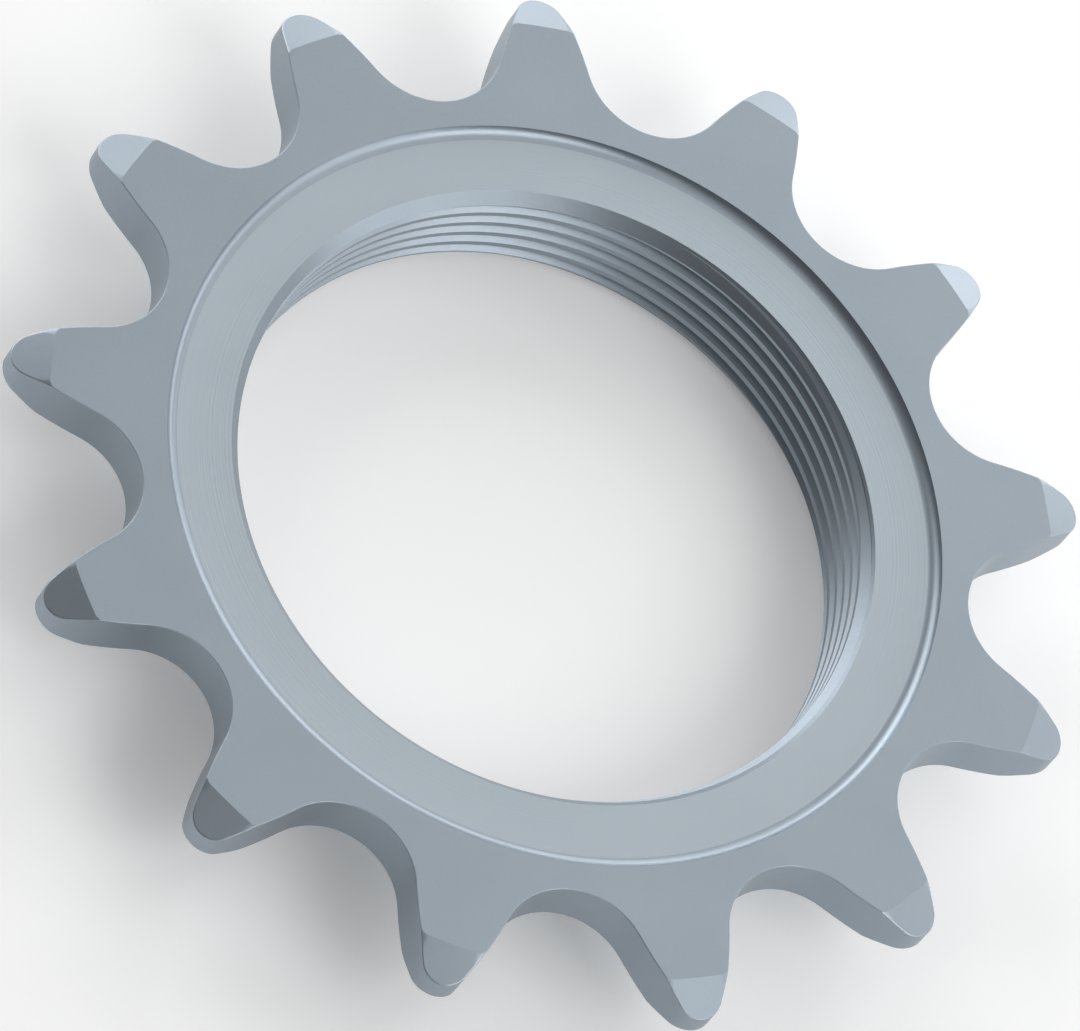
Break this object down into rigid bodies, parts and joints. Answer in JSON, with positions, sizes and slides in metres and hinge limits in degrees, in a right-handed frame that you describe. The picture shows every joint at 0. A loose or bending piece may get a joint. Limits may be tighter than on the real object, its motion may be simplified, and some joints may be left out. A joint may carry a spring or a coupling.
{
  "type": "single speed bicycle cog",
  "caption": "One-piece steel single speed cog with a threaded bore, a boss behind the teeth, bevelled tooth tips and a recessed seat for a lock ring.",
  "frame": {"origin": "on the bore axis, at the hub side end of the boss", "axes": "+Z along the bore axis towards the outer face, +Y through the middle of one tooth"},
  "size_m": [0.0582, 0.0578, 0.0071],
  "materials": {
    "satin_steel": "satin, evenly blasted, cool grey steel"
  },
  "bodies": {
    "root": {"cog": "satin_steel"}
  },
  "joints": []
}
